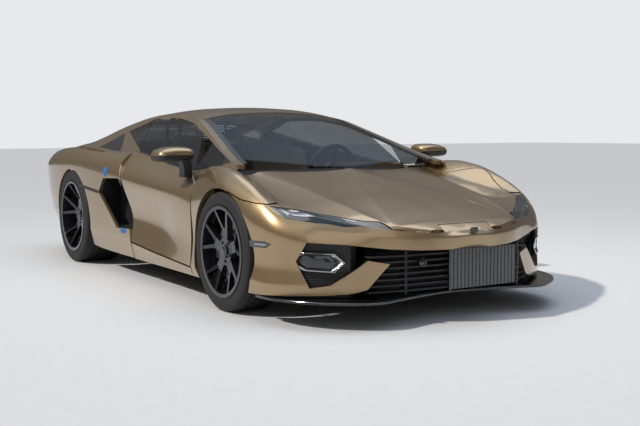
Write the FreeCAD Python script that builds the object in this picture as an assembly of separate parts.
import FreeCAD, Part
import math
import os

# Mid-engined two-seat supercar. Millimetres, +Z up, nose towards -Y, the car's right side at -X.
os.makedirs("parts", exist_ok=True)

# Overall sizes. The tables below are measured at the first length, and follow when it changes.
CAR_LENGTH = 4706.0
STRETCH = CAR_LENGTH / 4706.0
FRONT_AXLE_Y = -1303.0
REAR_AXLE_Y = 1355.0
SHUT_GAP = 6.0
DOOR_GAP = 12.0
SEAT_GAP = 0.3
SKIN = 22.0
GLASS = 6.0

# Wheels: tyre radius, tyre half width, rim flange radius, wheel centre X
FRONT_WHEEL = {"radius": 343.0, "half": 127.5, "flange": 264.0, "track": 861.0, "y": FRONT_AXLE_Y}
REAR_WHEEL = {"radius": 364.0, "half": 162.0, "flange": 278.0, "track": 835.0, "y": REAR_AXLE_Y}
BEAD_DEPTH = 12.0
BARREL_WALL = 16.0
SPINDLE_RADIUS = 32.0
RUNNING_FIT = 0.05
KINGPIN_INSET = 15.0
KINGPIN_RADIUS = 14.0
KINGPIN_RISE = 160.0
DISC_RADIUS = 190.0
DISC_THICKNESS = 32.0
SPOKES = 5

# Wheel arches: centre Y, centre Z, half length, height
WELL_INNER = 560.0
FRONT_ARCH = (FRONT_AXLE_Y + 13.0, 343.0, FRONT_WHEEL["radius"] + 47.0, FRONT_WHEEL["radius"] + 19.0)
REAR_ARCH = (REAR_AXLE_Y - 5.0, 324.0, REAR_WHEEL["radius"] + 48.0, REAR_WHEEL["radius"] + 48.0)

# Half sections of the body at stations Y, nose to tail: (half width, height) of each feature line.
# Front columns: low, skirt, waist, shoulder, crown, lid cut, crease, fold, centre
FRONT = {
    -2300: ((215, 330), (220, 350), (225, 375), (230, 403), (228, 462), (205, 492), (180, 503), (90, 508), (0, 510)),
    -2200: ((440, 240), (445, 280), (450, 340), (452, 408), (450, 470), (430, 510), (405, 528), (400, 532), (0, 545)),
    -2080: ((660, 175), (665, 220), (660, 320), (658, 422), (640, 486), (600, 535), (436, 565), (370, 570), (0, 584)),
    -1950: ((835, 165), (842, 215), (830, 320), (838, 448), (800, 525), (740, 575), (436, 602), (322, 607), (0, 618)),
    -1800: ((945, 158), (955, 215), (938, 320), (945, 495), (890, 595), (800, 612), (446, 641), (278, 645), (0, 652)),
    -1660: ((972, 152), (984, 222), (968, 330), (982, 540), (905, 672), (785, 640), (456, 670), (228, 674), (0, 682)),
    -1480: ((976, 152), (986, 222), (980, 400), (990, 640), (900, 750), (768, 675), (468, 708), (168, 714), (0, 722)),
    -1303: ((976, 152), (986, 222), (985, 450), (992, 702), (892, 802), (740, 710), (486, 744), (110, 752), (0, 760)),
    -1120: ((972, 151), (984, 215), (978, 420), (986, 650), (880, 825), (722, 742), (530, 778), (40, 792), (0, 798)),
    -1000: ((962, 150), (978, 210), (968, 390), (976, 606), (868, 822), (712, 765), (565, 800), (28, 815), (0, 820)),
    -860: ((955, 150), (972, 209), (955, 380), (965, 592), (855, 800), (735, 775), (640, 780), (28, 800), (0, 800)),
}
# Door columns: low, skirt, waist, shoulder, crown
DOOR = {
    -860: ((955, 150), (972, 209), (955, 380), (965, 592), (855, 800)),
    -600: ((946, 148), (968, 222), (928, 400), (962, 628), (842, 782)),
    -250: ((940, 147), (964, 240), (895, 420), (958, 652), (838, 805)),
    50: ((938, 147), (964, 262), (872, 440), (958, 672), (835, 845)),
    430: ((940, 150), (966, 290), (858, 450), (960, 702), (835, 892)),
}
# Rear columns: low, skirt, waist, shoulder, crown. Belt and cant rail follow from the glasshouse.
REAR = {
    120: ((940, 150), (966, 268), (960, 430), (960, 680), (835, 860)),
    600: ((944, 154), (972, 290), (972, 450), (972, 730), (850, 882)),
    900: ((950, 165), (984, 290), (988, 480), (990, 760), (872, 890)),
    1150: ((955, 190), (990, 300), (996, 520), (997, 775), (890, 900)),
    1355: ((955, 220), (990, 320), (998, 560), (998, 780), (895, 906)),
    1600: ((945, 240), (985, 340), (994, 560), (994, 775), (892, 903)),
    1850: ((925, 260), (965, 360), (980, 560), (982, 765), (880, 890)),
    2080: ((890, 280), (925, 380), (950, 560), (958, 750), (858, 870)),
    2240: ((850, 300), (880, 400), (905, 560), (918, 735), (820, 850)),
}
# Glasshouse columns: belt, cant rail, quarter, centre
GREEN = {
    -1120: ((800, 800), (775, 822), (400, 800), (0, 786)),
    -1031: ((802, 795), (765, 842), (400, 832), (0, 818)),
    -850: ((812, 788), (728, 892), (400, 900), (0, 898)),
    -600: ((818, 776), (675, 972), (380, 1000), (0, 1008)),
    -350: ((820, 788), (622, 1052), (350, 1088), (0, 1100)),
    -170: ((820, 808), (590, 1104), (340, 1145), (0, 1160)),
    0: ((816, 830), (568, 1132), (330, 1172), (0, 1185)),
    250: ((808, 860), (553, 1152), (320, 1190), (0, 1201)),
    500: ((790, 885), (550, 1150), (320, 1184), (0, 1194)),
    760: ((775, 884), (556, 1132), (325, 1162), (0, 1172)),
    1000: ((765, 870), (570, 1100), (335, 1130), (0, 1140)),
    1300: ((755, 885), (590, 1050), (350, 1082), (0, 1092)),
    1600: ((745, 900), (610, 990), (360, 1024), (0, 1035)),
    1900: ((740, 895), (625, 940), (370, 965), (0, 975)),
    2150: ((735, 880), (630, 915), (375, 935), (0, 942)),
    2240: ((730, 868), (632, 905), (375, 922), (0, 930)),
}
# Tail columns: low, side, widest, shoulder, top corner, deck edge, centre
TAIL = {
    2240: ((850, 300), (880, 400), (905, 560), (918, 735), (820, 850), (632, 905), (0, 930)),
    2310: ((835, 310), (865, 405), (888, 560), (898, 728), (805, 835), (620, 880), (0, 902)),
    2353: ((780, 330), (810, 420), (830, 560), (840, 700), (760, 800), (600, 835), (0, 850)),
}


# Floor pan: underside, top, rear end, height and outer face of the sills
FLOOR_Z = 120.0
FLOOR_TOP = 150.0
FLOOR_REAR = 1780.0
SILL_TOP = 190.0
SILL_OUTER = 799.7

# Front and rear face of the bulkhead between nose and cabin, and its top
BULKHEAD_FRONT = -930.0
BULKHEAD_REAR = -890.0
BULKHEAD_TOP = 700.0


# Small makers

def V(x, y, z):
    """A place or a push, with lengths along the car in step with its overall length."""
    return FreeCAD.Vector(x, y * STRETCH, z)


def box(x0, x1, y0, y1, z0, z1):
    return Part.makeBox(x1 - x0, (y1 - y0) * STRETCH, z1 - z0, V(x0, y0, z0))


def polygon(points):
    return Part.makePolygon([V(*p) for p in points] + [V(*points[0])])


def prism(points, push):
    return Part.Face(polygon(points)).extrude(V(*push))


def side_prism(points, x0, x1):
    return prism([(x0, y, z) for y, z in points], (x1 - x0, 0, 0))


def front_prism(points, y0, y1):
    return prism([(x, y0, z) for x, z in points], (0, y1 - y0, 0))


def plan_prism(points, z0, z1):
    return prism([(x, y, z0) for x, y in points], (0, 0, z1 - z0))


def rod(start, end, radius):
    a = V(*start)
    d = V(*end).sub(a)
    return Part.makeCylinder(radius, d.Length, a, d)


def loft(sections):
    return Part.makeLoft([polygon(s) for s in sections], True, True)


def fuse(shapes):
    whole = shapes[0]
    for s in shapes[1:]:
        whole = whole.fuse(s)
    return whole.removeSplitter() if len(shapes) > 1 else whole


def other_side(shape):
    return shape.mirror(V(0, 0, 0), V(1, 0, 0))


def both_sides(shape):
    return [shape, other_side(shape)]


def largest(shape):
    return max(shape.Solids, key=lambda s: s.Volume)


def save(name, shapes):
    if not isinstance(shapes, list):
        shapes = [shapes]
    solids = [s for shape in shapes for s in shape.Solids]
    whole = solids[0] if len(solids) == 1 else Part.makeCompound(solids)
    whole.exportStep("parts/" + name + ".step")
    print(name, len(solids), [s.isValid() for s in solids])


# Body sections

def between(table, y):
    """Feature points of a table at any station, straight between its two neighbours."""
    keys = sorted(table)
    y = min(max(y, keys[0]), keys[-1])
    hi = next(k for k in keys if k >= y)
    lo = max(k for k in keys if k <= y)
    t = 0.0 if hi == lo else (y - lo) / (hi - lo)
    return [(a[0] + t * (b[0] - a[0]), a[1] + t * (b[1] - a[1])) for a, b in zip(table[lo], table[hi])]


def stations(tables, y0, y1):
    inner = {k for table in tables for k in table if y0 < k < y1}
    return [y0] + sorted(inner) + [y1]


def along(a, b, share):
    return (a[0] + share * (b[0] - a[0]), a[1] + share * (b[1] - a[1]))


def inset(points, depth, drop_end=False):
    """The same line moved inwards by a wall's thickness, its last point straight down on request."""
    moved = []
    for i, (w, z) in enumerate(points):
        a = points[max(i - 1, 0)]
        b = points[min(i + 1, len(points) - 1)]
        dw, dz = b[0] - a[0], b[1] - a[1]
        run = math.hypot(dw, dz)
        moved.append((w - depth * dz / run, z + depth * dw / run))
    if drop_end:
        moved[-1] = (points[-1][0], points[-1][1] - depth)
    return moved


def wall(points, depth, drop_end=False):
    return points + inset(points, depth, drop_end)[::-1]


def right_side(tables, y0, y1, line, depth, drop_end=False):
    """A wall of the car's right side, where line(y) gives its outer points."""
    rows = []
    for y in stations(tables, y0, y1):
        rows.append([(-w, y, z) for w, z in wall(line(y), depth, drop_end)])
    return loft(rows)


def full_width(tables, y0, y1, line, depth):
    """A panel that crosses the car, where line(y) runs from its edge to the middle."""
    rows = []
    for y in stations(tables, y0, y1):
        pts = line(y)
        across = pts + [(-w, z) for w, z in pts[-2::-1]]
        rows.append([(-w, y, z) for w, z in wall(across, depth)])
    return loft(rows)


def columns(table, wanted):
    return lambda y: [between(table, y)[c] for c in wanted]


def rear_line(y):
    return between(REAR, y) + between(GREEN, y)[:2]


def trimmed(line, trim):
    """The same line with its outer edge drawn in towards the middle of the car."""
    def drawn_in(y):
        pts = line(y)
        return [(pts[0][0] - trim, pts[0][1])] + pts[1:]
    return drawn_in


def arch_prism(arch):
    y, z, half, height = arch
    x0, x1 = -1100.0, -WELL_INNER
    centre = V(x0, y, z)
    if half == height:
        edge = Part.Circle(centre, V(1, 0, 0), half).toShape()
    else:
        ahead = centre.add(FreeCAD.Vector(0, half, 0))
        above = centre.add(FreeCAD.Vector(0, 0, height))
        edge = Part.Ellipse(ahead, above, centre).toShape()
    return Part.Face(Part.Wire(edge)).extrude(V(x1 - x0, 0, 0))


def disc(x0, x1, y, z, radius):
    return Part.makeCylinder(radius, abs(x1 - x0), V(min(x0, x1), y, z), V(1, 0, 0))


FRONT_ARCH_CUT = arch_prism(FRONT_ARCH)
REAR_ARCH_CUT = arch_prism(REAR_ARCH)

# Shut lines and windows seen from the side: Y, Z
DOOR_FRONT_Y = -852.0
DOOR_REAR = ((150, 100), (165, 300), (196, 371), (336, 686), (405, 800), (405, 1000))
FENDER_TONGUE = ((-900, 668), (-852, 690), (-610, 778), (-600, 830), (-600, 1000))
BUMPER_LINE = ((-1400, 690), (-1500, 672), (-1640, 632))
INTAKE = ((100, 355), (420, 341), (761, 580), (667, 688), (300, 700), (100, 700))
DOOR_WINDOW = ((-590, 700), (-590, 796), (-385, 1010), (-385, 1300), (660, 1300), (652, 1105), (404, 893),
               (395, 700))
FRONT_QUARTER = ((-1010, 700), (-1010, 900), (-400, 1200), (-405, 1010), (-612, 796), (-612, 700))
REAR_QUARTER = ((420, 896), (1026, 1031), (780, 1080), (672, 1108))
SIDE_VENT = ((1425, 905), (1100, 1018), (835, 872))
CABIN_GLASS_END = 640.0


def before(line, far=-2600):
    """Everything ahead of a shut line."""
    return side_prism([(far, line[0][1])] + list(line) + [(far, line[-1][1])], -1200, 60)


def after(line, far=2600):
    return side_prism([(far, line[0][1])] + list(line) + [(far, line[-1][1])], -1200, 60)


# Nose

FAN_CENTRE_Y = -1450.0
FAN_ANGLES = (0, 6, 14, 22, 31, 39, 46, 53, 60, 67, 74, 81, 90)
# The tip on the centre line, in the front table's columns up to the lid cut: Y, Z
NOSE_TIP = ((-2290, 400), (-2295, 405), (-2305, 412), (-2320, 420), (-2353, 485), (-2292, 497))
# Half outline of the black front opening and the tusk beside it: |X|, Z
MOUTH = ((-20, 401), (300, 403), (450, 410), (640, 434), (815, 446), (853, 347), (805, 205), (715, 222),
         (545, 348), (450, 330), (575, 168), (565, 60), (-20, 60))
# Half outline of the headlamp in plan: |X|, Y
HEADLAMP = ((856, -1624), (887, -1855), (827, -1928), (678, -2083), (453, -2219),
            (456, -2079), (591, -1948), (739, -1780))
LAMP_BOTTOM = 500.0
LAMP_TOP = 760.0
LAMP_DEPTH = 70.0
# Half width and rear edge of the small pad at the lid's tip
BADGE_PAD = (164.0, -2246.0)
LID_FRONT_Y = -2282.0
LID_GAP = 12.0
# The lid's rear edge, the cowl and the windscreen's foot are arcs about one centre inside the car
LID_REAR_Y = -1148.0
LID_REAR_RADIUS = 2432.0
COWL_RADIUS = LID_REAR_RADIUS - 20.0
SCREEN_FOOT_RADIUS = LID_REAR_RADIUS - 77.0
COWL_DROP = 60.0
COWL_HALF = 685.0
# Hinge axis of the front lid: Y, Z, with a pin at each side
LID_HINGE = (LID_REAR_Y + 63.0, 735.0)
LID_HINGE_X = 608.0
LID_PIN = 5.0


def screen_ring(radius):
    """An upright cylinder about the shared centre of the lid's rear edge and the screen's foot."""
    centre = V(0, LID_REAR_Y, 300).add(FreeCAD.Vector(0, LID_REAR_RADIUS, 0))
    return Part.makeCylinder(radius, 1000, centre)


def fan_point(column, angle):
    """Where a front feature line crosses a vertical plane that turns about the nose."""
    line = [(0.0,) + NOSE_TIP[column]]
    line += [(FRONT[y][column][0], y, FRONT[y][column][1]) for y in sorted(FRONT)]
    polar = []
    for w, y, z in line:
        polar.append((math.degrees(math.atan2(w, FAN_CENTRE_Y - y)), math.hypot(w, y - FAN_CENTRE_Y), z))
    for (a0, r0, z0), (a1, r1, z1) in zip(polar, polar[1:]):
        if a0 <= angle <= a1:
            t = (angle - a0) / (a1 - a0)
            return (r0 + t * (r1 - r0), z0 + t * (z1 - z0))
    return polar[-1][1:]


def nose_shell():
    rows = []
    for angle in FAN_ANGLES:
        line = [fan_point(c, angle) for c in range(6)]
        s, c = math.sin(math.radians(angle)), math.cos(math.radians(angle))
        rows.append([(-r * s, FAN_CENTRE_Y - r * c, z) for r, z in wall(line, SKIN, True)])
    return loft(rows)


def headlamp_prism(grow):
    cx = sum(p[0] for p in HEADLAMP) / len(HEADLAMP)
    cy = sum(p[1] for p in HEADLAMP) / len(HEADLAMP)
    pts = []
    for w, y in HEADLAMP:
        d = math.hypot(w - cx, y - cy)
        pts.append((-(w + grow * (w - cx) / d), y + grow * (y - cy) / d))
    return plan_prism(pts, LAMP_BOTTOM, LAMP_TOP)


def mirrored_outline(points):
    return [(-w, other) for w, other in points]


def bumper_side(gap):
    """The region ahead of and below the line between bumper and fender."""
    line = [(y, z - gap) for y, z in BUMPER_LINE]
    return side_prism([(-2600, 0), (-1400, 0)] + line + [(-1640, 1000), (-2600, 1000)], -1100, 20)


def make_front_skins():
    nose = nose_shell()
    lamp_hole = headlamp_prism(SEAT_GAP * 2)
    bumper = nose.common(bumper_side(0)).cut(FRONT_ARCH_CUT).cut(lamp_hole)
    bumper = largest(bumper.cut(front_prism(mirrored_outline(MOUTH), -2600, -1700)))
    back = right_side([FRONT], FAN_CENTRE_Y, DOOR_FRONT_Y - DOOR_GAP, columns(FRONT, range(6)), SKIN, True)

    def tongue_line(y):
        return between(DOOR, y)[3:] + [between(GREEN, y)[0]]
    tongue = right_side([DOOR, GREEN], DOOR_FRONT_Y - DOOR_GAP, -612, tongue_line, SKIN)
    edge = [(y, z + DOOR_GAP) for y, z in FENDER_TONGUE[:3]]
    above = side_prism(edge + [(-610, 1000), (-900, 1000)], -1100, 0)
    fender = fuse([nose, back, tongue.common(above)])
    fender = fender.cut(bumper_side(-SHUT_GAP)).cut(FRONT_ARCH_CUT).cut(lamp_hole)
    return bumper, largest(fender)


def make_front_bumper(half):
    pad = full_width([FRONT], NOSE_TIP[5][0] - 2, BADGE_PAD[1], columns(FRONT, range(5, 9)), SKIN)
    pad = pad.common(box(-BADGE_PAD[0], BADGE_PAD[0], -2400, -2000, 300, 700))
    return largest(fuse(both_sides(half) + [pad]))


def make_front_lid():
    panel = full_width([FRONT], LID_FRONT_Y, -1000, trimmed(columns(FRONT, range(5, 9)), LID_GAP), SKIN)
    notch = box(-BADGE_PAD[0] - 10, BADGE_PAD[0] + 10, -2400, BADGE_PAD[1] + 10, 300, 800)
    lamp = headlamp_prism(LID_GAP)
    panel = panel.cut(notch).cut(screen_ring(LID_REAR_RADIUS)).cut(lamp).cut(other_side(lamp))
    y, z = LID_HINGE
    side = [(y - 12, z - 6), (y - 12, z + 28), (y + 10, z + 28), (y + 10, z - 6)]
    lug = side_prism(side, -LID_HINGE_X - 14, -LID_HINGE_X)
    pin = rod((-LID_HINGE_X - 7, y, z), (-LID_HINGE_X + 16, y, z), LID_PIN)
    return largest(fuse([panel] + both_sides(fuse([lug, pin]))))


def make_headlamp():
    front, back = HEADLAMP[4][1] - 16, HEADLAMP[0][1] + 24
    lamp = right_side([FRONT], front, back, columns(FRONT, (3, 4, 5, 6)), LAMP_DEPTH, True)
    return largest(lamp.common(headlamp_prism(0)))


SPLITTER_TOP = 146.0
SPLITTER_THICK = 18.0
# Splitter half outline in plan: |X|, Y
SPLITTER = ((0, -2168), (411, -2243), (547, -2285), (789, -2163), (922, -1988), (979, -1822), (984, -1700),
            (880, -1700), (880, -1740.3), (0, -1740.3))


def make_splitter():
    blade = plan_prism([(-w, y) for w, y in SPLITTER], SPLITTER_TOP - SPLITTER_THICK, SPLITTER_TOP)
    return fuse(both_sides(blade))


GRILLE_SLATS = (190, 235, 280, 325, 370)
SLAT_HEIGHT = 10.0
SLAT_HALF = 470.0
GRILLE_POST = 225.0
CORE_FRONT = -2058.0
CRASH_BEAM = {"half": 560.0, "front": -1998.0, "low": 180.0, "high": 230.0}


def make_grille():
    """Horizontal slats on two uprights that stand on the splitter."""
    slats = []
    bow = [(-SLAT_HALF, -2085), (-SLAT_HALF, -2120), (-240, -2190)]
    bow += [(-x, y) for x, y in bow[::-1]]
    for z in GRILLE_SLATS:
        slats.append(plan_prism(bow, z, z + SLAT_HEIGHT))
    posts = []
    for x in (-GRILLE_POST, GRILLE_POST):
        posts.append(box(x - 7, x + 7, -2180, CORE_FRONT - 4, SPLITTER_TOP + SEAT_GAP, 395))
    return fuse(slats + posts)


# Back wall of a lamp pocket in plan, from inboard to outboard: |X|, Y
POCKET_LINE = ((610, -2080), (700, -2035), (800, -1955), (850, -1875))
POCKET_WALL = 18.0
LAMP_RING_DEPTH = 45.0
# Six-sided daylight lamp: |X|, Z
LAMP_RING = ((885, 350), (830, 396), (705, 392), (655, 342), (705, 290), (825, 298))
RING_HOLE = (0.72, 0.66)


def pocket_strip(y0, y1, low, high):
    near = [(-w, y + y0) for w, y in POCKET_LINE]
    far = [(-w, y + y1) for w, y in POCKET_LINE[::-1]]
    return plan_prism(near + far, low, high)


def make_pocket(bumper):
    wall_piece = pocket_strip(0, POCKET_WALL, 185, 440)
    ledge = pocket_strip(-70, POCKET_WALL, 185, 192)
    return largest(fuse([wall_piece, ledge]).cut(bumper))


def make_lamp_ring(bumper):
    cx = sum(p[0] for p in LAMP_RING) / len(LAMP_RING)
    cz = sum(p[1] for p in LAMP_RING) / len(LAMP_RING)
    hole = [(cx + RING_HOLE[0] * (w - cx), cz + RING_HOLE[1] * (z - cz)) for w, z in LAMP_RING]
    band = front_prism(mirrored_outline(LAMP_RING), -2300, -1700)
    band = band.cut(front_prism(mirrored_outline(hole), -2300, -1700))
    return largest(band.common(pocket_strip(-LAMP_RING_DEPTH, -SEAT_GAP, 200, 430)).cut(bumper))


def make_radiators():
    core = box(-430, 430, CORE_FRONT, CRASH_BEAM["front"] - SEAT_GAP, 150, 380)
    inner = -CRASH_BEAM["half"] - SEAT_GAP
    side = plan_prism([(inner, -1880), (-760, -1790), (-740, -1750), (inner, -1830)], 180, 420)
    return [core] + both_sides(side)


bumper_half, fender_right = make_front_skins()
front_bumper = make_front_bumper(bumper_half)
save("front_bumper", front_bumper)
save("fender_right", fender_right)
save("fender_left", other_side(fender_right))
save("front_lid", make_front_lid())
save("headlamps", both_sides(make_headlamp()) + both_sides(make_lamp_ring(front_bumper)))
save("front_splitter", make_splitter())
save("front_grille", [make_grille().cut(front_bumper)] + both_sides(make_pocket(front_bumper)))
save("front_radiators", make_radiators())


# Doors

DOOR_INNER = 803.0
SIDE_GLASS = 5.0
# Shares of the way from cant rail to belt or to the roof's quarter line
PILLAR_LOW = 0.10
PILLAR_TOP = 0.15
WINDOW_TOP = 0.125
# Door hinges: axis |X|, Y, height of each arm, its thickness and width, and the room it turns in
DOOR_AXIS = (940.0, -750.0)
HINGE_PIN = 8.0
HINGE_ARM_Z = (330.0, 590.0)
ARM_THICK = 12.0
ARM_HALF = 13.0
ARM_ROOM = 6.0
ARM_INNER = 760.0
DOOR_SWING = 65.0


def hinge_pocket(z):
    """The sector inside the door that its fixed hinge arm sweeps through."""
    x, y = -DOOR_AXIS[0], DOOR_AXIS[1]
    side = ARM_HALF + ARM_ROOM
    swing = math.radians(DOOR_SWING)
    c, s = math.cos(swing), math.sin(swing)
    far = 230.0
    outline = [(0, side), (far, side), (far, -0.5 * far), (far * c, -far * s)]
    outline += [(far * c - side * s, -far * s - side * c), (-side * s, -side * c)]
    low, high = z - ARM_ROOM, z + ARM_THICK + ARM_ROOM
    sector = plan_prism([(x + dx, y + dy) for dx, dy in outline], low, high)
    return fuse([sector, Part.makeCylinder(side + 4, high - low, V(x, y, low))])


def hinge_pin(z):
    x, y = -DOOR_AXIS[0], DOOR_AXIS[1]
    return rod((x, y, z - 20), (x, y, z + ARM_THICK + 20), HINGE_PIN)


def hinge_arm(z):
    """A fixed arm from the bulkhead's side to the door's pin."""
    x, y = -DOOR_AXIS[0], DOOR_AXIS[1]
    arm = box(x, -ARM_INNER + 20, y - ARM_HALF, y + ARM_HALF, z, z + ARM_THICK)
    root = box(-ARM_INNER, -690, BULKHEAD_REAR - 2, y + ARM_HALF, z, z + ARM_THICK)
    eye = Part.makeCylinder(ARM_HALF + 2, ARM_THICK, V(x, y, z))
    return fuse([arm, root, eye]).cut(rod((x, y, z - 1), (x, y, z + ARM_THICK + 1), HINGE_PIN + RUNNING_FIT))


def door_section(y):
    pts = between(DOOR, y)[1:]
    return pts + [(DOOR_INNER, pts[-1][1] - 4), (DOOR_INNER, pts[0][1])]


def make_door():
    rows = []
    for y in stations([DOOR], DOOR_FRONT_Y, 430):
        rows.append([(-w, y, z) for w, z in door_section(y)])
    door = loft(rows)
    door = door.cut(side_prism([(-900, 2000)] + list(FENDER_TONGUE[:3]) + [(-598, 2000)], -1100, 0))
    door = door.cut(after([(y - DOOR_GAP, z) for y, z in DOOR_REAR]))
    for z in HINGE_ARM_Z:
        door = door.cut(hinge_pocket(z)).fuse(hinge_pin(z))
    return largest(door)


def side_glass(top):
    def line(y):
        belt, cant = between(GREEN, y)[:2]
        return [along(belt, cant, 0.0), along(cant, belt, top)]
    return right_side([GREEN], -1031, 1500, line, SIDE_GLASS)


def make_door_glass():
    pane = side_glass(WINDOW_TOP).common(side_prism(DOOR_WINDOW, -1000, -400))
    above_door = []
    for y in stations([DOOR], -600, 430):
        z = between(DOOR, y)[4][1] + SEAT_GAP - 2
        above_door.append((y, z))
    keep = side_prism(above_door + [(700, 893), (700, 1300), (-600, 1300)], -1000, -400)
    return largest(pane.common(keep))


def make_fixed_glass():
    front = side_glass(PILLAR_LOW + 0.002).common(side_prism(FRONT_QUARTER, -1000, -400))
    tongue_top = [(-1031, 838), (-950, 835), (-852, 805), (-600, 787)]
    front = largest(front.common(side_prism(tongue_top + [(-600, 1300), (-1031, 1300)], -1000, -400)))
    rear = largest(side_glass(0.0).common(side_prism(REAR_QUARTER, -1000, -400)))
    vent = largest(side_glass(0.0).common(side_prism(SIDE_VENT, -1000, -400)))
    return [s for piece in (front, rear, vent) for s in both_sides(piece)]


# Mirror, right side: rim of the housing round the glass, then how its sections shrink to the front
MIRROR_Y = -680.0
MIRROR_RIM = ((-1123, 868), (-1105, 915), (-1010, 936), (-900, 930), (-868, 900), (-875, 850), (-1000, 838),
              (-1090, 840))
MIRROR_CENTRE = (-990.0, 886.0)
# Sections: distance from MIRROR_Y, share of the rim's width, share of its height
MIRROR_SECTIONS = ((60, 1.0, 1.0), (0, 1.0, 1.0), (-48, 0.94, 0.88), (-76, 0.78, 0.6))
MIRROR_GLASS_INSET = 0.88
# Arm: height, front Y and rear Y from MIRROR_Y, inner X, outer X
MIRROR_ARM = ((850, -60, 10, -905, -965), (800, -48, 22, -890, -948), (740, -20, 60, -880, -935))


def mirror_row(y, wide, high):
    cx, cz = MIRROR_CENTRE
    return [(cx + wide * (x - cx), MIRROR_Y + y, cz + high * (z - cz)) for x, z in MIRROR_RIM]


def make_mirror():
    housing = loft([mirror_row(*row) for row in MIRROR_SECTIONS])
    glass_seat = [mirror_row(y, MIRROR_GLASS_INSET, MIRROR_GLASS_INSET) for y in (54, 70)]
    rows = []
    for z, near, far, inner, outer in MIRROR_ARM:
        rows.append([(inner, MIRROR_Y + near, z), (outer, MIRROR_Y + near, z), (outer, MIRROR_Y + far, z),
                     (inner, MIRROR_Y + far, z)])
    return fuse([housing.cut(loft(glass_seat)), loft(rows)])


door_right = make_door()
mirror_right = largest(make_mirror().cut(door_right))
door_glass_right = largest(make_door_glass().cut(door_right))
save("door_right", door_right)
save("door_left", other_side(door_right))
save("door_glass_right", door_glass_right)
save("door_glass_left", other_side(door_glass_right))
save("mirror_right", mirror_right)
save("mirror_left", other_side(mirror_right))
save("fixed_side_glass", make_fixed_glass())


# Roof, pillars and windscreen

ROOF_FRONT_Y = -172.0
ENGINE_LID_FRONT_Y = 1105.0
ENGINE_LID_REAR_Y = 2050.0
ENGINE_LID_GAP = 15.0
# Gooseneck hinge of the engine lid: axis Y, Z, and the inner face of each arm
ENGINE_HINGE = (905.0, 1070.0)
ENGINE_HINGE_X = (-250.0, 272.0)
ROOF = 26.0


def roof_line(y):
    belt, cant, quarter, centre = between(GREEN, y)
    return [along(cant, belt, PILLAR_LOW), cant, quarter, centre]


def pillar_line(y):
    belt, cant, quarter, centre = between(GREEN, y)
    return [along(cant, belt, PILLAR_LOW), cant, along(cant, quarter, PILLAR_TOP)]


def screen_line(y):
    belt, cant, quarter, centre = between(GREEN, y)
    edge = along(cant, quarter, PILLAR_TOP)
    return [(edge[0] - 0.6, edge[1]), quarter, centre]


def make_roof():
    front = full_width([GREEN], ROOF_FRONT_Y, CABIN_GLASS_END - SEAT_GAP, roof_line, ROOF)
    rear = full_width([GREEN], CABIN_GLASS_END - SEAT_GAP, ENGINE_LID_FRONT_Y - ENGINE_LID_GAP,
                      trimmed(columns(GREEN, (1, 2, 3)), SEAT_GAP), ROOF)
    pillar = right_side([GREEN], -1060, ROOF_FRONT_Y + 4, pillar_line, ROOF)
    leg = box(-709, -690, BULKHEAD_FRONT + 2, BULKHEAD_REAR - 2, BULKHEAD_TOP + SEAT_GAP, 868)
    side = fuse([pillar, leg])
    eyes = []
    for x in ENGINE_HINGE_X:
        plate = side_prism([(885, 1128), (925, 1128), (918, 1055), (892, 1055)], x - 22, x - 12)
        eyes.append(plate.cut(rod((x - 30, *ENGINE_HINGE), (x, *ENGINE_HINGE), HINGE_PIN + RUNNING_FIT)))
    roof = fuse([front, rear] + both_sides(side) + eyes)
    return largest(roof.cut(fender_right).cut(other_side(fender_right)))


def make_windscreen():
    pane = full_width([GREEN], -1120, ROOF_FRONT_Y - SHUT_GAP, screen_line, GLASS)
    return largest(pane.common(screen_ring(SCREEN_FOOT_RADIUS)).cut(roof_shell))


def make_cowl():
    """The black trough under the windscreen's foot, below the lid's sweep."""
    def line(y):
        return [(w, z - COWL_DROP) for w, z in between(FRONT, y)[5:]]
    trough = full_width([FRONT], -1180, BULKHEAD_FRONT - 4, line, 12)
    trough = trough.common(box(-COWL_HALF, COWL_HALF, -1180, -900, 500, 900))
    feet = [box(x - 6, x + 6, BULKHEAD_FRONT - 30, BULKHEAD_FRONT - 0.3, 640, 745) for x in (-300, 300)]
    return largest(fuse([trough.common(screen_ring(COWL_RADIUS))] + feet))


roof_shell = make_roof()
save("roof_shell", roof_shell)
save("windscreen", make_windscreen())
save("cowl_panel", make_cowl())


# Rear body

QUARTER_DEPTH = 22.0


def make_quarter():
    shell = right_side([REAR, GREEN], 140, 2240, rear_line, QUARTER_DEPTH, True)
    end = CABIN_GLASS_END
    glazed = [(0, 893), (412, 893)] + list(REAR_QUARTER) + [(end, 1118), (end, 1400), (0, 1400)]
    windows = side_prism(glazed, -1100, -300)
    shell = shell.cut(windows).cut(side_prism(SIDE_VENT, -1100, -300)).cut(REAR_ARCH_CUT)
    shell = shell.cut(side_prism(INTAKE, -1100, -780))
    start = ENGINE_LID_FRONT_Y - ENGINE_LID_GAP + SEAT_GAP
    rail = right_side([GREEN], start, ENGINE_LID_REAR_Y + DOOR_GAP - SEAT_GAP, deck_side_line, QUARTER_DEPTH)
    return largest(fuse([shell.cut(before(DOOR_REAR)), rail]))


def make_side_duct(quarter):
    inner = plan_prism([(-838, 232), (-826, 400), (-800, 560), (-790, 800), (-770, 800), (-770, 232)], 345, 690)
    inner = inner.cut(before([(y + 18, z) for y, z in DOOR_REAR]))
    floor = plan_prism([(-790, 280), (-950, 420), (-965, 640), (-790, 800)], 330, 345)
    floor = floor.cut(before([(y + 18, z) for y, z in DOOR_REAR]))
    return largest(fuse([inner, floor]).cut(quarter))


SKIRT_INNER = 800.0


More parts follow.
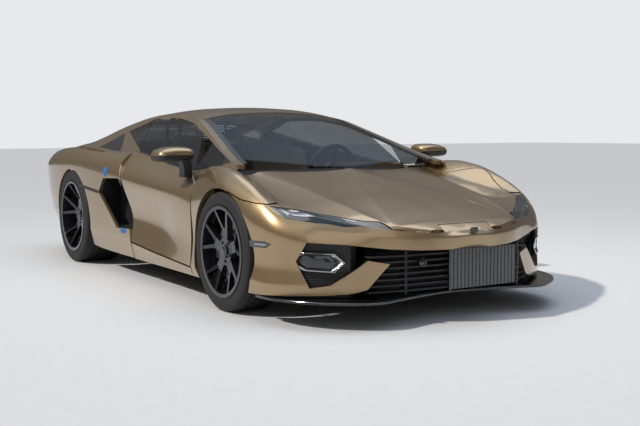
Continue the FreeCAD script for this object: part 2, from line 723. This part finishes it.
def make_side_skirt():
    rows = []
    for y in stations([DOOR], DOOR_FRONT_Y - DOOR_GAP + 2, 146):
        low, skirt = between(DOOR, y)[:2]
        outer = [(-low[0], y, low[1]), (-skirt[0], y, skirt[1] - DOOR_GAP)]
        rows.append(outer + [(-SKIRT_INNER, y, SILL_TOP + 3), (-SKIRT_INNER, y, low[1])])
    return loft(rows)


# Slanted slots in the engine lid
LOUVRES = 7
LOUVRE_START = 1200.0
LOUVRE_PITCH = 105.0
LOUVRE_SLOT = 62.0
LOUVRE_HALF = 400.0


def make_engine_lid():
    panel = full_width([GREEN], ENGINE_LID_FRONT_Y, ENGINE_LID_REAR_Y, lid_line, ROOF)
    for k in range(LOUVRES):
        y = LOUVRE_START + LOUVRE_PITCH * k
        z = between(GREEN, y)[3][1]
        top, foot = y + 40, y - 60
        slant = [(top, z + 50), (top + LOUVRE_SLOT, z + 50), (foot + LOUVRE_SLOT, z - 75), (foot, z - 75)]
        panel = panel.cut(side_prism(slant, -LOUVRE_HALF, LOUVRE_HALF))
    y, z = ENGINE_HINGE
    neck = [(y - 12, z + 12), (y - 12, z - 172), (y + 272, z - 172), (y + 272, z + 20), (y + 248, z + 20)]
    neck += [(y + 248, z - 148), (y + 12, z - 148), (y + 12, z + 12)]
    parts = [panel]
    for x in ENGINE_HINGE_X:
        parts.append(side_prism(neck, x - 10, x + 6))
        parts.append(rod((x - 24, y, z), (x, y, z), HINGE_PIN))
    return largest(fuse(parts))


def lid_line(y):
    belt, cant, quarter, centre = between(GREEN, y)
    return [(cant[0] - 90, along(cant, quarter, 90 / (cant[0] - quarter[0]))[1]), quarter, centre]


def deck_side_line(y):
    belt, cant, quarter, centre = between(GREEN, y)
    inner = (cant[0] - 90 + DOOR_GAP, along(cant, quarter, (90 - DOOR_GAP) / (cant[0] - quarter[0]))[1])
    return [(cant[0] + 1.0, cant[1]), inner]


TAIL_SHELL = 30.0
# Two holes for the number plate
PLATE_SPACING = 300.0
PLATE_Z = 475.0
PLATE_HOLE = 3.0
REAR_WALL_IN = 2325.0


def make_rear_bumper():
    def rows(table, shrink):
        out = []
        for y in sorted(table):
            pts = list(table[y])
            if shrink:
                pts = [(w - shrink if w else w, z - shrink) for w, z in pts]
                pts[0] = (pts[0][0], table[y][0][1] + shrink)
            across = pts + [(-w, z) for w, z in pts[-2::-1]]
            out.append([(-w, y, z) for w, z in across])
        return out
    outer_rows = rows(TAIL, 0)
    outer_rows[:-1] = [[(x, y + SEAT_GAP, z) for x, y, z in row] for row in outer_rows[:-1]]
    outer = loft(outer_rows)
    inner = [[(x, y, z) for x, y, z in row] for row in rows(TAIL, TAIL_SHELL)]
    inner[-1] = [(x, REAR_WALL_IN, z) for x, y, z in inner[-1]]
    shell = outer.cut(loft(inner))
    deck_line = trimmed(columns(GREEN, (1, 2, 3)), 16.0)
    deck = full_width([GREEN], ENGINE_LID_REAR_Y + DOOR_GAP, 2246, deck_line, QUARTER_DEPTH)
    band = [(-700, 520), (-790, 560), (-740, 700)]
    recess = front_prism(band + [(-x, z) for x, z in band[::-1]], 2200, 2400)
    lower = front_prism([(-640, 200), (-560, 430), (560, 430), (640, 200)], 2200, 2400)
    bumper = fuse([shell, deck]).cut(recess).cut(lower)
    for x in (-PLATE_SPACING / 2, PLATE_SPACING / 2):
        bumper = bumper.cut(rod((x, 2300, PLATE_Z), (x, 2360, PLATE_Z), PLATE_HOLE))
    return largest(bumper)


# Ring-shaped tail lamp, outline and hole: X, Z
TAIL_LAMP = ((-770, 565), (-735, 690), (-560, 690), (-520, 610), (-560, 540), (-700, 530))
TAIL_LAMP_HOLE = ((-720, 580), (-700, 655), (-590, 655), (-570, 610), (-600, 570), (-690, 565))
REAR_SLATS = (550, 580, 610, 640, 670)


def make_tail_lamps():
    lamp = front_prism(TAIL_LAMP, REAR_WALL_IN, 2346)
    return both_sides(lamp.cut(front_prism(TAIL_LAMP_HOLE, 2290, 2360)))


def make_rear_grille():
    halves = []
    for s in (-1, 1):
        y0, y1 = REAR_WALL_IN - SEAT_GAP - 14, REAR_WALL_IN - SEAT_GAP
        low, high = sorted((140 * s, 735 * s))
        slats = [box(low, high, y0, y1, z, z + 8) for z in REAR_SLATS]
        posts = [box(s * x - 6, s * x + 6, y0, y1, 505, 715) for x in (146, 440, 729)]
        halves.append(fuse(slats + posts))
    return halves


DIFFUSER_FINS = (-540, -330, -120, 120, 330, 540)


def make_diffuser():
    """A rising floor with upright fins below the tail."""
    start = FLOOR_REAR + SEAT_GAP
    rise = [(start, FLOOR_Z), (start, FLOOR_TOP), (1850, 165), (2290, 297), (2290, 282), (1850, FLOOR_TOP)]
    fin = [(1850, 130), (2280, 150), (2288, 285), (1850, 155)]
    fins = [side_prism(fin, x - 5, x + 5) for x in DIFFUSER_FINS]
    return fuse([side_prism(rise, -620, 620)] + fins)


# Twin outlets: centre X, height, radius, wall
MUFFLER_LOW = 530.0
OUTLET_X = 66.0
OUTLET_Z = 610.0
OUTLET_RADIUS = 58.0
OUTLET_WALL = 6.0


def make_exhaust():
    pipes = []
    for x in (-OUTLET_X, OUTLET_X):
        outer = rod((x, 2100, OUTLET_Z), (x, 2348, OUTLET_Z), OUTLET_RADIUS)
        pipes.append(outer.cut(rod((x, 2130, OUTLET_Z), (x, 2360, OUTLET_Z), OUTLET_RADIUS - OUTLET_WALL)))
    muffler = box(-330, 330, 1960, 2120, MUFFLER_LOW, MUFFLER_LOW + 160)
    return fuse(pipes + [muffler])


quarter_right = make_quarter()
save("quarter_panel_right", quarter_right)
save("quarter_panel_left", other_side(quarter_right))
save("side_ducts", both_sides(make_side_duct(quarter_right)))
save("side_skirts", both_sides(make_side_skirt()))
save("engine_lid", make_engine_lid())
save("rear_bumper", make_rear_bumper())
save("tail_lamps", make_tail_lamps())
save("rear_grille", make_rear_grille())
save("rear_diffuser", make_diffuser())
save("exhaust_outlets", make_exhaust())


# Structure: floor, bulkheads, suspension, engine

PAD_RADIUS = 40.0
JACK_PADS = ((700, -760), (700, 760))
# Threaded socket for a screw-in towing eye: |X|, Z
TOW_EYE = (500, 205)
TOW_BOSS = 40.0
TOW_RADIUS = 10.0
TOW_DEPTH = 45.0


def make_tub():
    floor = [box(-540, 540, -1740, FLOOR_REAR, FLOOR_Z, FLOOR_TOP),
             box(-SILL_OUTER, SILL_OUTER, BULKHEAD_REAR, 900, FLOOR_Z, FLOOR_TOP)]
    sill = box(-SILL_OUTER, -660, BULKHEAD_REAR, 900, FLOOR_Z, SILL_TOP)
    bulkhead = box(-755, 755, BULKHEAD_FRONT, BULKHEAD_REAR, FLOOR_Z, BULKHEAD_TOP)
    nose_box = box(-520, 520, -1700, BULKHEAD_FRONT, FLOOR_Z, 420)
    nose_box = nose_box.cut(box(-480, 480, -1660, BULKHEAD_FRONT, 160, 600))
    front_tower = box(-520, -480, -1460, -1146, 400, 525)
    beam = CRASH_BEAM
    crash = box(-beam["half"], beam["half"], beam["front"], -1690, beam["low"], beam["high"])
    tow_x, tow_z = -TOW_EYE[0], TOW_EYE[1]
    tow_tip = beam["front"] - TOW_BOSS
    tow_boss = rod((tow_x, tow_tip, tow_z), (tow_x, beam["front"] + 5, tow_z), 2 * TOW_RADIUS)
    tow_hole = rod((tow_x, tow_tip, tow_z), (tow_x, tow_tip + TOW_DEPTH, tow_z), TOW_RADIUS)
    rear_wall = box(-740, 740, 560, 590, FLOOR_Z, 860)
    kick_up = [(588, 250), (2060, 250), (2182, 300), (2182, 350), (2050, 320), (588, 320)]
    rear_rail = side_prism(kick_up, -480, -430)
    stay = [(beam["front"] + 1, 200), (beam["front"] + 60, 200), (beam["front"] + 20, 420)]
    stay += [(-2260, 500), (-2260, 480), (-2040, 390)]
    nose_stay = side_prism(stay, -458, -444).cut(front_bumper)
    fender_stay = box(-1000, -750, -906, BULKHEAD_REAR - 2, 200, 260).cut(fender_right)
    rear_post = box(-480, -430, 590, 660, FLOOR_Z, 320)
    axle = rod((-500, REAR_AXLE_Y, REAR_WHEEL["radius"]), (-400, REAR_AXLE_Y, REAR_WHEEL["radius"]), 26)
    rear_tower = box(-480, -430, 1190, 1520, 195, 530).cut(axle)
    rear_beam = box(-700, 700, 2180, 2240, 300, 360)
    cradle = [box(-480, 480, 2005, 2055, 500, MUFFLER_LOW - SEAT_GAP)]
    cradle += both_sides(box(-480, -430, 2005, 2055, 310, 510))
    pads = [Part.makeCylinder(PAD_RADIUS, 10, V(s * x, y, FLOOR_Z - 10)) for x, y in JACK_PADS for s in (-1, 1)]
    y, z = LID_HINGE
    root = BULKHEAD_FRONT + 2
    ear = [(root, 660), (root, BULKHEAD_TOP), (y + 5, BULKHEAD_TOP), (y + 11, z)]
    ear += [(y + 8, z + 9), (y - 12, z + 9), (y - 20, z), (y - 20, 660)]
    ear = side_prism(ear, -LID_HINGE_X + 2, -LID_HINGE_X + 14)
    ear = ear.cut(rod((-LID_HINGE_X - 5, y, z), (-LID_HINGE_X + 20, y, z), LID_PIN + RUNNING_FIT))
    right = [sill, front_tower, largest(nose_stay), largest(fender_stay), rear_rail, rear_post, rear_tower, ear]
    right += [hinge_arm(h) for h in HINGE_ARM_Z]
    left = [other_side(piece) for piece in right]
    middle = floor + [bulkhead, nose_box, crash, tow_boss, rear_wall, rear_beam] + cradle + pads
    return fuse(middle + right + left).cut(tow_hole)


def make_engine():
    block = box(-300, 300, 700, 1240, FLOOR_TOP + SEAT_GAP, 700)
    gearbox = box(-190, 190, 1240, 1900, 200, 490)
    return fuse([block, gearbox])


# Caliper from the wheel's centre: outer and inner side, near and far end, half height, slot for the disc
CALIPER = {"out": 52.0, "in": 14.0, "near": 128.0, "far": 206.0, "half": 58.0, "slot_out": 45.0, "slot_in": 3.0}


def make_caliper(w, root_x):
    """A brake caliper behind the axle, on a bridge to its upright at root_x."""
    x, y, z, c = -w["track"], w["y"], w["radius"], CALIPER
    block = box(x - c["out"], x + c["in"], y + c["near"], y + c["far"], z - c["half"], z + c["half"])
    slot = box(x - c["slot_out"], x - c["slot_in"], y, y + c["far"] - 10, z - 90, z + 90)
    bridge = box(x - c["slot_in"] + 1, root_x, y + 30, y + c["near"] + 20, z - 40, z + 40)
    return fuse([block, bridge]).cut(slot)


def make_front_knuckle():
    """Upright, kingpins and spindle of the right front wheel, with its brake caliper."""
    w = FRONT_WHEEL
    x, y, z = -w["track"], w["y"], w["radius"]
    pin_x = x + KINGPIN_INSET
    body = box(pin_x - 13, pin_x + 34, y - 45, y + 45, z - KINGPIN_RISE + 24, z + KINGPIN_RISE - 24)
    pins = rod((pin_x, y, z - KINGPIN_RISE - 16), (pin_x, y, z + KINGPIN_RISE + 16), KINGPIN_RADIUS)
    spindle = disc(x - 62, pin_x, y, z, SPINDLE_RADIUS)
    return fuse([body, pins, spindle, make_caliper(w, pin_x + 30)])


def make_front_wishbones():
    w = FRONT_WHEEL
    x, y, z = -w["track"] + KINGPIN_INSET, w["y"], w["radius"]
    eye = KINGPIN_RADIUS + 4
    arms = []
    for rise in (-KINGPIN_RISE, KINGPIN_RISE):
        low = z + rise - 9
        outline = [(x, y - eye), (x + 190, y - 28), (-520.3, y - 150)]
        outline += [(w, 2 * y - d) for w, d in outline[::-1]]
        window = [(x + 215, y - 10), (-560, y - 90), (-560, y + 90), (x + 215, y + 10)]
        arm = fuse([plan_prism(outline, low, low + 18), Part.makeCylinder(eye, 18, V(x, y, low))])
        arm = arm.cut(plan_prism(window, low - 1, low + 19))
        arms.append(arm.cut(rod((x, y, low - 5), (x, y, low + 25), KINGPIN_RADIUS + RUNNING_FIT)))
    return both_sides(arms[0]) + both_sides(arms[1])


def make_rear_upright():
    w = REAR_WHEEL
    x, y, z = -w["track"], w["y"], w["radius"]
    body = box(x + 20, x + 70, y - 60, y + 60, z - 170, z + 170)
    spindle = disc(x - 62, x + 30, y, z, SPINDLE_RADIUS)
    arms = []
    for rise in (-150, 150):
        low = z + rise - 9
        outline = [(x + 60, y - 28), (x + 240, y - 28), (-480.3, y - 150)]
        outline += [(w, 2 * y - d) for w, d in outline[::-1]]
        arms.append(plan_prism(outline, low, low + 18))
    shaft = disc(x + 60, -190.3, y, z, 18)
    return fuse([body, spindle, make_caliper(w, x + 60), shaft] + arms)


save("floor_tub", make_tub())
save("engine_block", make_engine())
knuckle_right = make_front_knuckle()
save("knuckle_right", knuckle_right)
save("knuckle_left", other_side(knuckle_right))
save("front_wishbones", make_front_wishbones())
save("rear_uprights", both_sides(make_rear_upright()))


# Wheels

TYRE_SIDES = 80
HUB_RADIUS = 78.0
HUB_FACE = 62.0
# Y-shaped spokes: radius where a spoke forks, half spread of its arms at the fork and at the rim
FORK_RADIUS = 128.0
FORK_SPREAD = 20.0
RIM_SPREAD = 74.0
DISC_OFFSET = 40.0


def revolved(profile, y, z):
    """Turns a profile of (x, radius) about a wheel's axle."""
    face = Part.Face(polygon([(x, y, z + r) for x, r in profile]))
    return face.revolve(V(0, y, z), V(1, 0, 0), 360)


def turned(profile, y, z, sides):
    """A solid through many-sided rings about a wheel's axle, with a corner at the bottom."""
    rings = []
    for x, r in profile:
        turns = [2 * math.pi * k / sides for k in range(sides)]
        rings.append([(x, y + r * math.sin(a) / STRETCH, z - r * math.cos(a)) for a in turns])
    return loft(rings)


def make_tyre(w):
    x, h, r, f = -w["track"], w["half"], w["radius"], w["flange"]
    half_profile = [(-h + 12, f + 0.5), (-h, (r + f) / 2), (-h + 5, r - 14), (-h + 24, r)]
    profile = [(x + a, b) for a, b in half_profile] + [(x - a, b) for a, b in half_profile[::-1]]
    bead = (f - BEAD_DEPTH) / math.cos(math.pi / TYRE_SIDES)
    bore = turned([(x - h, bead), (x + h, bead)], w["y"], r, TYRE_SIDES)
    return largest(turned(profile, w["y"], r, TYRE_SIDES).cut(bore))


def spoke_row(x0, x1, middle, half, radius):
    """A spoke's four-cornered section: outer and inner X, place across it, half width, radius."""
    low, high = middle - half, middle + half
    return [(x0, low, radius), (x0, high, radius), (x1, high, radius), (x1, low, radius)]


def make_spoke(face_x, rim_x, end):
    """A stem from the hub that forks into two arms, pointing up."""
    stem = loft([spoke_row(face_x - 32, face_x + 6, 0, 30, 60),
                 spoke_row(face_x - 34, face_x + 2, 0, 33, FORK_RADIUS + 8)])
    arms = []
    for side in (-1, 1):
        arms.append(loft([spoke_row(face_x - 34, face_x + 2, side * FORK_SPREAD, 13, FORK_RADIUS),
                          spoke_row(rim_x - 6, rim_x + 26, side * RIM_SPREAD, 10, end)]))
    return [stem] + arms


def make_rim(w):
    """Barrel, hub, spokes and brake disc of a right-hand wheel."""
    x, h, r, f = -w["track"], w["half"], w["radius"], w["flange"]
    y, z = w["y"], r
    bead = f - BEAD_DEPTH - SEAT_GAP
    out, inn = x - h + 12 - SEAT_GAP, x + h - 12 + SEAT_GAP
    inside = bead - BARREL_WALL
    profile = [(out - 9, f), (out, f), (out, bead), (inn, bead), (inn, f), (inn + 9, f), (inn + 9, inside + 6)]
    profile += [(x + 30, inside - 8), (x - 40, inside - 8), (out - 9, inside + 6)]
    barrel = revolved(profile, y, z)
    face_x = x - HUB_FACE
    hub = disc(face_x - 34, face_x + 22, y, z, HUB_RADIUS)
    cap = disc(face_x - 44, face_x - 34, y, z, HUB_RADIUS / 2)
    bore = disc(face_x - 12, face_x + 40, y, z, SPINDLE_RADIUS + RUNNING_FIT)
    spokes = []
    spoke_end = math.sqrt((bead - 4) ** 2 - (RIM_SPREAD + 10) ** 2)
    for k in range(SPOKES):
        for piece in make_spoke(face_x, out, spoke_end):
            piece.rotate(V(0, 0, 0), V(1, 0, 0), k * 360 / SPOKES)
            piece.translate(V(0, y, z))
            spokes.append(piece)
    disc_x = x - DISC_OFFSET
    brake = disc(disc_x, disc_x + DISC_THICKNESS, y, z, DISC_RADIUS)
    brake = brake.cut(disc(disc_x - 1, disc_x + 60, y, z, 100))
    hat = disc(face_x + 22, disc_x + DISC_THICKNESS, y, z, 100).cut(disc(face_x + 26, disc_x + 60, y, z, 92))
    return fuse([barrel, hub, cap] + spokes + [brake, hat]).cut(bore)


for axle, w in (("front", FRONT_WHEEL), ("rear", REAR_WHEEL)):
    tyre = make_tyre(w)
    rim = make_rim(w)
    save("tyre_" + axle + "_right", tyre)
    save("tyre_" + axle + "_left", other_side(tyre))
    save("rim_" + axle + "_right", rim)
    save("rim_" + axle + "_left", other_side(rim))


# Cabin

SEAT_X = 370.0
COLUMN_TILT = 22.0
STEERING_CENTRE = (370.0, -330.0, 760.0)
COLUMN_RADIUS = 20.0
COLUMN_LENGTH = 240.0
GRIP_RADIUS = 172.0
GRIP_SECTION = ((15, -8), (15, 8), (0, 15), (-15, 8), (-15, -8), (0, -15))


def make_seats():
    cushion = side_prism([(-60, SILL_TOP), (-60, 330), (380, 290), (400, SILL_TOP)], -250, 250)
    back = side_prism([(330, 190), (300, 330), (430, 860), (520, 900), (545, 860), (540, 190)], -240, 240)
    head = side_prism([(432, 850), (450, 960), (530, 985), (545, 850)], -110, 110)
    wings = []
    for x0, x1 in ((-250, -175), (175, 250)):
        wings.append(side_prism([(-30, 315), (10, 372), (300, 352), (372, 285)], x0, x1))
        wings.append(side_prism([(312, 330), (250, 420), (318, 690), (400, 740), (440, 700)], x0, x1))
    seat = fuse([cushion, back, head] + wings)
    seats = []
    for x in (-SEAT_X, SEAT_X):
        s = seat.copy()
        s.translate(V(x, 0, 0))
        seats.append(s)
    runners = [box(x - 200, x + 200, -20, 380, FLOOR_TOP + SEAT_GAP, SILL_TOP) for x in (-SEAT_X, SEAT_X)]
    return [a.fuse(b) for a, b in zip(seats, runners)]


def steering_frame(shape):
    """From the column's own frame, +Z towards the driver, to its place in the car."""
    shape.rotate(V(0, 0, 0), V(1, 0, 0), -90 + COLUMN_TILT)
    shape.translate(V(*STEERING_CENTRE))
    return shape


def make_steering_wheel():
    grip = [(GRIP_RADIUS + dr, 0, dz) for dr, dz in GRIP_SECTION]
    ring = Part.Face(polygon(grip)).revolve(V(0, 0, 0), V(0, 0, 1), 360)
    hub = Part.makeCylinder(55, 34, V(0, 0, -30))
    spokes = [box(-165, 165, -16, 16, -14, 4), box(-16, 16, -165, 0, -14, 4)]
    shaft = Part.makeCylinder(COLUMN_RADIUS, COLUMN_LENGTH, V(0, 0, -COLUMN_LENGTH - 20))
    return steering_frame(fuse([ring, hub] + spokes + [shaft]))


def make_dashboard():
    near, low = BULKHEAD_REAR + 4, BULKHEAD_TOP + SEAT_GAP
    top = side_prism([(near, 560), (near, 748), (-800, 772), (-560, 770), (-520, 700), (-560, 560)], -690, 690)
    shelf = side_prism([(-926, low), (-926, 742), (-880, 748), (-880, low)], -685, 685)
    shroud = steering_frame(Part.makeCylinder(48, 180, V(0, 0, -250)))
    bore = steering_frame(Part.makeCylinder(COLUMN_RADIUS + RUNNING_FIT, 400, V(0, 0, -290)))
    foot = FLOOR_TOP + SEAT_GAP
    tunnel = [(-700, foot), (-700, 600), (-560, 560), (-300, 400), (300, 380), (300, foot)]
    console = side_prism(tunnel, -105, 105)
    hood = side_prism([(-720, 765), (-690, 806), (-600, 812), (-585, 765)], 235, 505)
    return fuse([top, shelf, hood, shroud, console]).cut(bore)


save("seats", make_seats())
save("dashboard", make_dashboard())
save("steering_wheel", make_steering_wheel())
